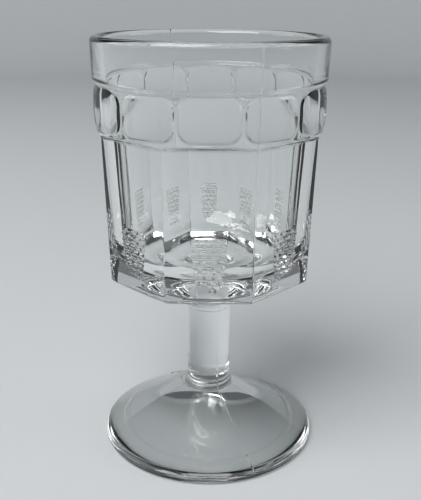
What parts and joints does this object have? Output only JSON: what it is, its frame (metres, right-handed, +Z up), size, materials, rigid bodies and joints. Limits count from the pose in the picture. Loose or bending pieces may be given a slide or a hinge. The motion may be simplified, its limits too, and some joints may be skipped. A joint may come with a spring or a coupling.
{
  "type": "water goblet",
  "caption": "Pressed clear glass water goblet with an eight-sided bucket bowl, a band of twelve raised tiles under a plain rim, a plain stem and a round spreading foot.",
  "frame": {"origin": "centre of the foot's resting ring, on the table", "axes": "+Z up along the stem to the rim; one flat of the bowl faces -Y and another +X"},
  "size_m": [0.081, 0.081, 0.15],
  "materials": {
    "clear_glass": "pressed and fire-polished"
  },
  "bodies": {
    "root": {"foot": "clear_glass", "stem": "clear_glass", "collar": "clear_glass", "bowl": "clear_glass"}
  },
  "joints": []
}
